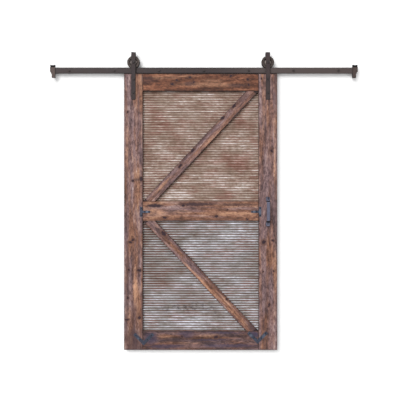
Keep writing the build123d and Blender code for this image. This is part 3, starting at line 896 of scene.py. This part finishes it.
@dataclass(frozen=True)
class StudioPaper(Finish):
    """White paper of the studio, for the wall behind the door and the floor: white, and clear from behind.

    Attributes:
        lift: How much it glows where nothing is near it.
        shade_reach: How near a piece has to be to shade it, in metres.
    """

    lift: float = 0.28
    shade_reach: float = 60 * MM

    def make(self) -> Material:
        """Build the material.

        Returns:
            The finished material.
        """
        material, tree, _ = self.start()
        paper = add_node(tree, "BsdfDiffuse", {"Color": "#f4f4f4"})
        nearby = add_node(tree, "AmbientOcclusion", {"Distance": self.shade_reach}, samples=8).outputs["AO"]
        limits = {"From Min": 0.42, "From Max": 0.62, "To Max": self.lift}
        unshaded = add_node(tree, "MapRange", {"Value": nearby, **limits})
        glow = combine(tree, "MULTIPLY", [seen_share(tree), unshaded])
        light = add_node(tree, "Emission", {"Color": "#ffffff", "Strength": glow})
        front = add_node(tree, "AddShader", {0: paper, 1: light})
        behind = add_node(tree, "NewGeometry").outputs["Backfacing"]
        both = add_node(tree, "MixShader", {0: behind, 1: front, 2: add_node(tree, "BsdfTransparent")})
        add_node(tree, "OutputMaterial", {"Surface": both})
        return material


def dress(finish: Finish, *nodes: str) -> Material:
    """Make a finish and give it to CAD nodes, on every slot.

    Args:
        finish: The finish.
        nodes: The nodes' names.

    Returns:
        Its material.
    """
    material = finish.make()
    for node in nodes:
        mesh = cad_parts[node].data
        if not mesh.materials:
            mesh.materials.append(material)
        for i in range(len(mesh.materials)):
            mesh.materials[i] = material
    return material


def outline_of(node: str) -> tuple[tuple[float, float], tuple[float, float]]:
    """Where a CAD node lies, seen from the room.

    Args:
        node: The node's name.

    Returns:
        Its middle and its half sizes in X and Z, in metres.
    """
    low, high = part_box(node)
    middle = (low + high) / 2
    half = (high - low) / 2
    return (middle.x, middle.z), (half.x, half.z)


def new_piece(name: str, mesh: bmesh.types.BMesh, material: Material) -> Object:
    """Turn a finished bmesh into an object at the origin.

    Args:
        name: The piece's name.
        mesh: Its mesh, which is freed.
        material: Its finish.

    Returns:
        The linked object.
    """
    data = bpy.data.meshes.new(name)
    mesh.to_mesh(data)
    mesh.free()
    data.materials.append(material)
    piece = bpy.data.objects.new(name, data)
    bpy.context.scene.collection.objects.link(piece)
    return piece


@dataclass
class Track:
    """The track bar with its lag bolts, spacers and end stops. Lengths are in metres."""

    lag_count: int = 7
    lag_spacing: float = 0.348
    thread_root: float = 4.4 * MM
    thread_sunk: float = 0.2 * MM  # how far its foot is inside the bolt
    thread_crest: float = 5.6 * MM
    thread_pitch: float = 3.4 * MM
    thread_flank: float = 0.32  # half the ridge's foot, as a share of the pitch
    thread_turns: int = 11
    thread_start: float = 2 * MM
    steps: int = 20  # in each turn

    def build(self) -> None:
        """Dress the track's nodes and cut its threads."""
        bar = CoatedSteel(
            "dark_bronze_track_bar",
            coat="#2f2829",
            cloud="#362d2c",
            rubbed="#514745",
            outline=outline_of("track_bar"),
            # The wide, nearly black edges and the long spot at the lower edge are dirt and painted shade:
            # they paint the shadow in the gap between the bar and the leaf.
            edge_width=5.0,
            edge="#141010",
            worn=(Spot(1000, 0, 1000, 400, 0.7),),
            painted_shade=(Spot(-30, -22, 1000, 8, 0.9),),
        )
        dress(bar, "track_bar")
        fixing = CoatedSteel(
            "black_oxide_track_fixings", coat="#332c2c", cloud="#39312f", rubbed="#4a4241", cloud_size=12
        )
        black = dress(fixing, "track_lag_bolts", "track_washers", "track_spacers", "stop_set_screws")
        dress(MouldedRubber("black_bumper_rubber"), "left_stop_bumper", "right_stop_bumper")
        for seed, side in enumerate(("left", "right"), 1):
            stop = CoatedSteel(
                f"dark_bronze_{side}_end_stop",
                coat="#403532",
                cloud="#4b3f3b",
                rubbed="#665a55",
                outline=outline_of(f"{side}_end_stop"),
                seed=seed,
            )
            dress(stop, f"{side}_end_stop")
        self.cut_threads(black)
        log.info("track: bar, %d lag bolts, two end stops", self.lag_count)

    def cut_threads(self, material: Material) -> None:
        """Wind the thread round each lag bolt, behind the bar.

        Args:
            material: The bolts' finish.
        """
        mesh = bmesh.new()
        flank = self.thread_pitch * self.thread_flank
        sunk = self.thread_root - self.thread_sunk
        for number in range(self.lag_count):
            x = (number - self.lag_count // 2) * self.lag_spacing
            corners = ((sunk, -flank), (self.thread_crest, 0.0), (sunk, flank))
            ring = [mesh.verts.new((x + r, self.thread_start + y, 0.0)) for r, y in corners]
            edges = [mesh.edges.new((ring[i - 1], ring[i])) for i in range(len(ring))]
            bmesh.ops.spin(
                mesh,
                geom=ring + edges,
                cent=(x, 0.0, 0.0),
                axis=(0.0, 1.0, 0.0),
                dvec=(0.0, self.thread_pitch / self.steps, 0.0),
                angle=2 * math.pi * self.thread_turns,
                steps=self.thread_turns * self.steps,
                use_merge=False,
            )
        bmesh.ops.holes_fill(mesh, edges=[e for e in mesh.edges if e.is_boundary], sides=3)
        bmesh.ops.recalc_face_normals(mesh, faces=mesh.faces)
        piece = new_piece("lag_bolt_threads", mesh, material)
        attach(piece, "track")


@dataclass
class Hangers:
    """The two strap hangers with their wheels, bearings and bolts."""

    strap_coats: dict[str, str] = field(default_factory=lambda: {"left": "#2b2221", "right": "#382d2c"})
    # Painted shade lies in dark rings in the recess round the hub and at the groove's rim, which leaves the
    # hub lighter.
    wheel_shade_rings: tuple[tuple[float, str], ...] = (
        (0.0, "#ffffff"),
        (0.44, "#ffffff"),
        (0.5, "#4a4544"),
        (0.64, "#7d7877"),
        (0.85, "#857f7d"),
        (0.94, "#4a4544"),
    )

    def build(self) -> None:
        """Dress every node of the hangers."""
        fixing = CoatedSteel(
            "black_oxide_hanger_fixings", coat="#2a2525", cloud="#332d2d", rubbed="#4b4444", cloud_size=12
        )
        pieces = ("hanger_bolts", "hanger_washers", "hanger_nuts", "axle_nuts", "axle_sleeves")
        dress(fixing, *pieces, "left_axle_bolt", "right_axle_bolt")
        for seed, (side, coat) in enumerate(self.strap_coats.items(), 3):
            strap = CoatedSteel(
                f"dark_bronze_{side}_strap",
                coat=coat,
                cloud="#30282b",
                rubbed="#463c3b",
                cloud_size=70,
                outline=outline_of(f"{side}_hanger_strap"),
                seed=seed,
            )
            dress(strap, f"{side}_hanger_strap")
            axle, _ = outline_of(f"{side}_wheel")
            wheel = TurnedSteel(
                f"dark_bronze_{side}_wheel",
                light="#a0958f",
                dark="#6b615d",
                axle=axle,
                roughness=0.5,
                metallic=0.7,
                bands=self.wheel_shade_rings,
            )
            dress(wheel, f"{side}_wheel")
            ground = TurnedSteel(
                f"ground_{side}_bearing_steel", light="#d6d4d0", dark="#a5a29e", axle=axle, roughness=0.3
            )
            parts = ("inner_ring", "outer_ring", "balls", "cage")
            dress(ground, *(f"{side}_bearing_{part}" for part in parts))
            log.info("%s hanger: strap, wheel, bearing and bolts", side)


@dataclass
class Leaf:
    """The boards of the leaf: stiles, rails and braces.

    Attributes:
        brace_width: How wide the braces are across their grain, in metres, as are the next two.
        brace_length: How long they are along it.
        tenon: How far a rail goes into each stile, where its edges are hidden.
        boards: The finish of each board, by the node's name: its grain, its shade and the marks on it.
    """

    brace_width: float = 70 * MM
    brace_length: float = 1.18
    tenon: float = 40 * MM
    boards: tuple[StainedPine, ...] = (
        StainedPine(
            "left_stile",
            run=Run.UPRIGHT,
            seed=1,
            warmth=0.45,
            side_dark=0.6,
            knots=(
                Spot(-589, -323, 9, 6), Spot(-487, -842, 16, 11), Spot(-548, -855, 8, 9),
                Spot(-570, -1330, 8, 14), Spot(-549, -1312, 8, 12), Spot(-500, -1548, 12, 16),
                Spot(-580, -1544, 9, 7), Spot(-590, -1760, 10, 6), Spot(-596, -1928, 6, 14),
                Spot(-496, -1912, 9, 12),
            ),
            stains=(
                Spot(-520, -846, 14, 34, 0.7), Spot(-600, -1990, 190, 16, 0.5),
                Spot(-545, -2090, 150, 80, 0.8), Spot(-535, -1960, 260, 60, 0.35),
                Spot(-592, -1680, 400, 26, 0.5), Spot(-505, -1460, 260, 14, 0.45),
            ),
            worn=(
                Spot(-529, -1700, 150, 26, 0.9), Spot(-575, -1880, 60, 18, 0.8),
                Spot(-592, -560, 330, 12, 0.7),
            ),
        ),
        StainedPine(
            "right_stile",
            run=Run.UPRIGHT,
            seed=2,
            lift=-0.03,
            warmth=0.38,
            knots=(
                Spot(446, -64, 8, 6), Spot(523, -626, 14, 9), Spot(464, -1330, 14, 14),
                Spot(532, -1315, 7, 7), Spot(505, -1814, 14, 7), Spot(457, -1558, 7, 5),
                Spot(540, -1551, 6, 5),
            ),
            stains=(
                Spot(508, -420, 330, 12, 0.45), Spot(512, -1250, 420, 12, 0.35),
                Spot(460, -1970, 70, 14, 0.7), Spot(475, -1720, 200, 18, 0.35),
            ),
            worn=(
                Spot(548, -600, 420, 12, 0.7), Spot(550, -1500, 420, 10, 0.6),
                Spot(460, -330, 260, 18, 0.5), Spot(491, -268, 55, 8),
            ),
        ),
        StainedPine(
            "top_rail",
            seed=3,
            lift=-0.14,
            warmth=1.25,
            wash="#fae8dc",
            # Its long edges are darkest, with painted shade along the top under the track and along the
            # bottom over the sheet.
            side_dark=0.9,
            knots=(
                Spot(-209, -78, 8, 6), Spot(-108, -54, 11, 8), Spot(-246, -108, 11, 9),
                Spot(-79, -91, 8, 6), Spot(209, -44, 8, 7), Spot(339, -71, 10, 9), Spot(346, -113, 7, 10),
            ),
            stains=(
                Spot(-110, -104, 62, 24, 0.7), Spot(-430, -70, 60, 40, 0.4), Spot(250, -118, 110, 18, 0.5),
            ),
            worn=(
                Spot(-350, -55, 90, 22, 0.5), Spot(60, -80, 130, 18, 0.5), Spot(-250, -60, 90, 14, 0.4),
                Spot(30, -112, 380, 30, 0.5), Spot(-170, -45, 220, 14, 0.5),
            ),
        ),
        StainedPine(
            "middle_rail",
            seed=4,
            lift=0.04,
            warmth=0.7,
            side_dark=0.3,
            stain="#3a2a2f",
            knots=(
                Spot(-161, -1046, 12, 8), Spot(-300, -1140, 14, 9), Spot(98, -1129, 14, 9),
                Spot(181, -1079, 6, 5), Spot(336, -1151, 8, 6),
            ),
            stains=(
                Spot(-380, -1048, 100, 20), Spot(-60, -1036, 220, 20, 0.9), Spot(250, -1040, 220, 16, 0.7),
            ),
            worn=(
                Spot(-360, -1100, 120, 40, 0.8), Spot(-180, -1092, 120, 18, 0.8),
                Spot(200, -1110, 240, 24, 0.6),
            ),
        ),
        StainedPine(
            "bottom_rail",
            seed=5,
            lift=-0.18,
            warmth=0.45,
            side_dark=0.5,
            stain="#453d52",
            knots=(Spot(94, -2062, 14, 10), Spot(-170, -2058, 9, 6)),
            stains=(
                Spot(-410, -2075, 75, 70, 0.7), Spot(385, -2042, 60, 34, 0.9),
                Spot(-135, -2040, 90, 40, 0.7), Spot(-300, -2135, 200, 22, 0.7),
                Spot(200, -2130, 300, 18, 0.7), Spot(170, -2030, 240, 10, 0.7),
                Spot(60, -2085, 200, 9, 0.6),
            ),
            worn=(
                Spot(-300, -2060, 90, 12, 0.5), Spot(30, -2050, 120, 16, 0.5),
                Spot(-120, -2110, 160, 12, 0.4),
            ),
        ),
        StainedPine(
            "upper_brace",
            run=Run.RISING,
            seed=6,
            lift=-0.03,
            warmth=0.35,
            knots=(
                Spot(232, -276, 22, 10), Spot(144, -369, 20, 9), Spot(-90, -622, 20, 9),
                Spot(-182, -738, 18, 9),
            ),
            stains=(Spot(300, -215, 70, 22, 0.5), Spot(-42, -572, 430, 14, 0.5)),
            worn=(Spot(-330, -900, 110, 20, 0.8), Spot(-8, -604, 330, 14, 0.45)),
        ),
        StainedPine(
            "lower_brace",
            run=Run.FALLING,
            seed=7,
            lift=-0.02,
            knots=(Spot(-311, -1266, 20, 12), Spot(178, -1770, 10, 7)),
            stains=(Spot(385, -1992, 90, 44, 0.85), Spot(-10, -1574, 430, 13, 0.5)),
            worn=(
                Spot(-42, -1608, 260, 14, 0.9), Spot(180, -1790, 90, 14, 0.7),
                Spot(-350, -1220, 60, 16, 0.5),
            ),
        ),
    )

    def build(self) -> None:
        """Dress every board."""
        for board in self.boards:
            node = board.name
            low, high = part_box(node)
            size = high - low
            length, width = max(size.x, size.z), min(size.x, size.z)
            if node.endswith("rail"):
                length -= 2 * self.tenon
            if node.endswith("brace"):
                length, width = self.brace_length, self.brace_width
            centre = tuple((low + high) / 2)
            finish = replace(board, name=f"stained_pine_{node}", centre=centre, length=length, width=width)
            dress(finish, node)
            log.info("%s: %d knots", node, len(board.knots))


@dataclass
class Panels:
    """The corrugated sheets, the boards behind them and the screws in the braces.

    Attributes:
        sheets: The finish of each sheet, by the first word of its node's name.
    """

    sheets: dict[str, WeatheredSheet] = field(
        default_factory=lambda: {
            "upper": WeatheredSheet(
                "rusty_corrugated_zinc",
                grey=("#4e352a", "#755b4c", "#957f71", "#b9a9a0", "#e6e1e0"),
                red=("#4a2820", "#774a3e", "#977064", "#bc9b92", "#e5d3ce"),
                seed=1,
                patches=(
                    Spot(-344, -406, 95, 70), Spot(-350, -330, 80, 50, 0.7), Spot(220, -705, 120, 70, 0.75),
                    Spot(275, -406, 90, 60, 0.5), Spot(153, -958, 110, 45, 0.65),
                    Spot(-60, -700, 110, 60, 0.5), Spot(380, -500, 50, 120, 0.5),
                ),
                pale=(
                    Spot(-300, -650, 110, 60), Spot(110, -720, 60, 50), Spot(-170, -960, 130, 60),
                    Spot(0, -235, 260, 30, 0.4), Spot(320, -600, 150, 150, 0.6),
                    Spot(60, -850, 330, 50, 0.7), Spot(320, -900, 110, 60, 0.7),
                ),
            ),
            "lower": WeatheredSheet(
                "silvery_corrugated_zinc",
                grey=("#452f28", "#6c5d56", "#8b8681", "#b4b3ba", "#e4e7f2"),
                red=("#482820", "#774d40", "#967067", "#b49c98", "#d9d0d4"),
                seed=2,
                redness=0.4,
                rust_red=0.2,
                relief=0.4,
                evenness=0.55,
                grit=0.13,
                patches=(
                    Spot(-123, -1206, 110, 40, 0.7), Spot(153, -1217, 90, 40, 0.6),
                    Spot(-426, -1290, 110, 150, 0.9), Spot(-300, -1330, 150, 100, 0.6),
                    Spot(-400, -1500, 120, 130, 0.75), Spot(-330, -1600, 140, 110, 0.8),
                    Spot(-120, -1760, 140, 90, 0.6), Spot(370, -1550, 90, 110, 0.6),
                    Spot(60, -1490, 120, 60, 0.4),
                ),
                # The last pale place, along the top under the middle rail, is zinc and also a painted light
                # against the rail's shadow.
                pale=(
                    Spot(-12, -1957, 170, 60, 0.8), Spot(250, -1290, 160, 60, 0.7),
                    Spot(-80, -1340, 90, 70, 0.6), Spot(120, -1190, 320, 50, 0.7),
                ),
                smudges=(Spot(-100, -1835, 300, 38),),
            ),
        }
    )
    first_board_seed: int = 8

    def build(self) -> None:
        """Dress both panels."""
        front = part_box("upper_corrugated_sheet")[0].y
        for side, sheet in self.sheets.items():
            dress(replace(sheet, front=front), f"{side}_corrugated_sheet")
        for seed, side in enumerate(self.sheets, self.first_board_seed):
            node = f"{side}_backing_board"
            low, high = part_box(node)
            board = StainedPine(
                f"stained_plywood_{node}",
                centre=tuple((low + high) / 2),
                length=high.x - low.x,
                width=high.z - low.z,
                seed=seed,
                lift=0.12,
                warmth=0.85,
                side_dark=0.3,
                end_dark=0.3,
            )
            dress(board, node)
        screws = CoatedSteel(
            "yellow_zinc_brace_screws", coat="#8c7c52", cloud="#9c8c62", rubbed="#b5aa8c", cloud_size=6
        )
        dress(screws, "brace_screws")
        log.info("panels: two sheets, two backing boards")


@dataclass
class Ironwork:
    """The flat plates on the joints and the pull handle, with their screws.

    Attributes:
        plates: Where each plate is rubbed bright and carries a painted highlight, by node.
    """

    plates: dict[str, tuple[Spot, ...]] = field(
        default_factory=lambda: {
            # Each place is rubbed steel with a painted highlight on it.
            "left_tee_strap": (Spot(-438, -1094, 20, 14, 0.45),),
            "right_tee_strap": (Spot(386, -1094, 18, 14, 0.4), Spot(435, -1094, 14, 34, 0.4)),
            "left_corner_strap": (Spot(-508, -2078, 10, 14, 0.3),),
            "right_corner_strap": (Spot(362, -2050, 16, 16, 0.4), Spot(465, -2058, 18, 30, 0.3)),
        }
    )
    first_plate_seed: int = 10

    def build(self) -> None:
        """Dress the plates, the handle and the screws."""
        for seed, (node, worn) in enumerate(self.plates.items(), self.first_plate_seed):
            plate = CoatedSteel(
                f"blued_steel_{node}",
                coat="#343744",
                cloud="#444959",
                rubbed="#747b8b",
                cloud_size=20,
                worn=worn,
                seed=seed,
            )
            dress(plate, node)
        handle = CoatedSteel(
            "blued_steel_pull_handle",
            coat="#5c5b6c",
            cloud="#6a6b7e",
            rubbed="#848598",
            # The nearly black edges and the given spots are dirt and painted shade, for the shadows under the
            # grip's bends and at its ends.
            edge="#121116",
            edge_width=6.0,
            outline=outline_of("pull_handle"),
            painted_shade=(
                Spot(495, -1013, 30, 6), Spot(495, -1171, 30, 9), Spot(497, -990, 8, 19, 0.8),
                Spot(497, -1181, 13, 7, 0.6),
            ),
            seed=15,
        )
        dress(handle, "pull_handle")
        screws = CoatedSteel(
            "black_oxide_plate_screws", coat="#17161a", cloud="#212126", rubbed="#3c3c42", cloud_size=6
        )
        dress(screws, "strap_screws", "handle_screws")
        log.info("ironwork: %d plates and the handle", len(self.plates))


@dataclass
class Studio:
    """The white wall and floor, the light and the camera, in metres, with lens and sensor in millimetres."""

    view_centre: Vector = field(default_factory=lambda: Vector((-30 * MM, -52 * MM, -1003.5 * MM)))
    view_width: float = 3.092
    lens: float = 58.0
    sensor: float = 36.0
    far: float = 100.0
    paper_half: float = 12.0
    floor_place: tuple[float, float, float] = (0.0, -2.0, -2.62)
    sky: float = 0.36
    sun: float = 2.5
    sun_softness: float = math.radians(40)
    sun_travel: tuple[float, float, float] = (0.49, 1.0, -0.57)
    fill: float = 1.3
    fill_travel: tuple[float, float, float] = (-0.4, -1.0, -0.35)

    def build(self) -> None:
        """Make the surroundings and the camera."""
        paper = StudioPaper("white_studio_paper").make()
        self.lay("studio_wall", paper, Matrix.Rotation(math.radians(90), 4, "X"))
        self.lay("studio_floor", paper, Matrix.Translation(self.floor_place))
        self.light()
        camera = bpy.data.cameras.new("photo_camera")
        camera.lens = self.lens
        camera.sensor_width = self.sensor
        camera.clip_end = self.far
        holder = bpy.data.objects.new("photo_camera", camera)
        distance = self.view_width * self.lens / self.sensor
        holder.location = self.view_centre - Vector((0, distance, 0))
        holder.rotation_euler = (math.radians(90), 0, 0)
        bpy.context.scene.collection.objects.link(holder)
        bpy.context.scene.camera = holder
        log.info("studio: camera %.1f m away", distance)

    def lay(self, name: str, material: Material, place: Matrix) -> None:
        """Make one sheet of the studio paper.

        Args:
            name: The object's name.
            material: The paper.
            place: Where it goes.
        """
        mesh = bmesh.new()
        bmesh.ops.create_grid(mesh, x_segments=1, y_segments=1, size=self.paper_half)
        bmesh.ops.transform(mesh, matrix=place, verts=mesh.verts)
        sheet = new_piece(name, mesh, material)
        sheet.visible_diffuse = False
        sheet.visible_shadow = False

    def light(self) -> None:
        """Make a sun in front, a weaker one behind, and the plain sky, which is white where it is seen."""
        for name, energy, travel in (
            ("soft_key", self.sun, self.sun_travel),
            ("back_fill", self.fill, self.fill_travel),
        ):
            lamp = bpy.data.lights.new(name, "SUN")
            lamp.energy = energy
            lamp.angle = self.sun_softness
            holder = bpy.data.objects.new(name, lamp)
            holder.rotation_euler = Vector(travel).to_track_quat("-Z", "Y").to_euler()
            bpy.context.scene.collection.objects.link(holder)
        world = bpy.data.worlds.new("plain_sky")
        bpy.context.scene.world = world
        world.use_nodes = True
        tree = world.node_tree
        tree.nodes.clear()
        plain, white = (
            add_node(tree, "Background", {"Color": "#ffffff", "Strength": strength})
            for strength in (self.sky, 1.0)
        )
        both = add_node(tree, "MixShader", {0: seen_share(tree), 1: plain, 2: white})
        add_node(tree, "OutputWorld", {"Surface": both})


def main() -> None:
    """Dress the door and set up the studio."""
    logging.basicConfig(level=logging.INFO, format="%(name)s: %(message)s")
    for part in (Track(), Hangers(), Leaf(), Panels(), Ironwork(), Studio()):
        part.build()
    bpy.context.scene.view_settings.view_transform = "Standard"


if __name__ == "__main__":
    main()
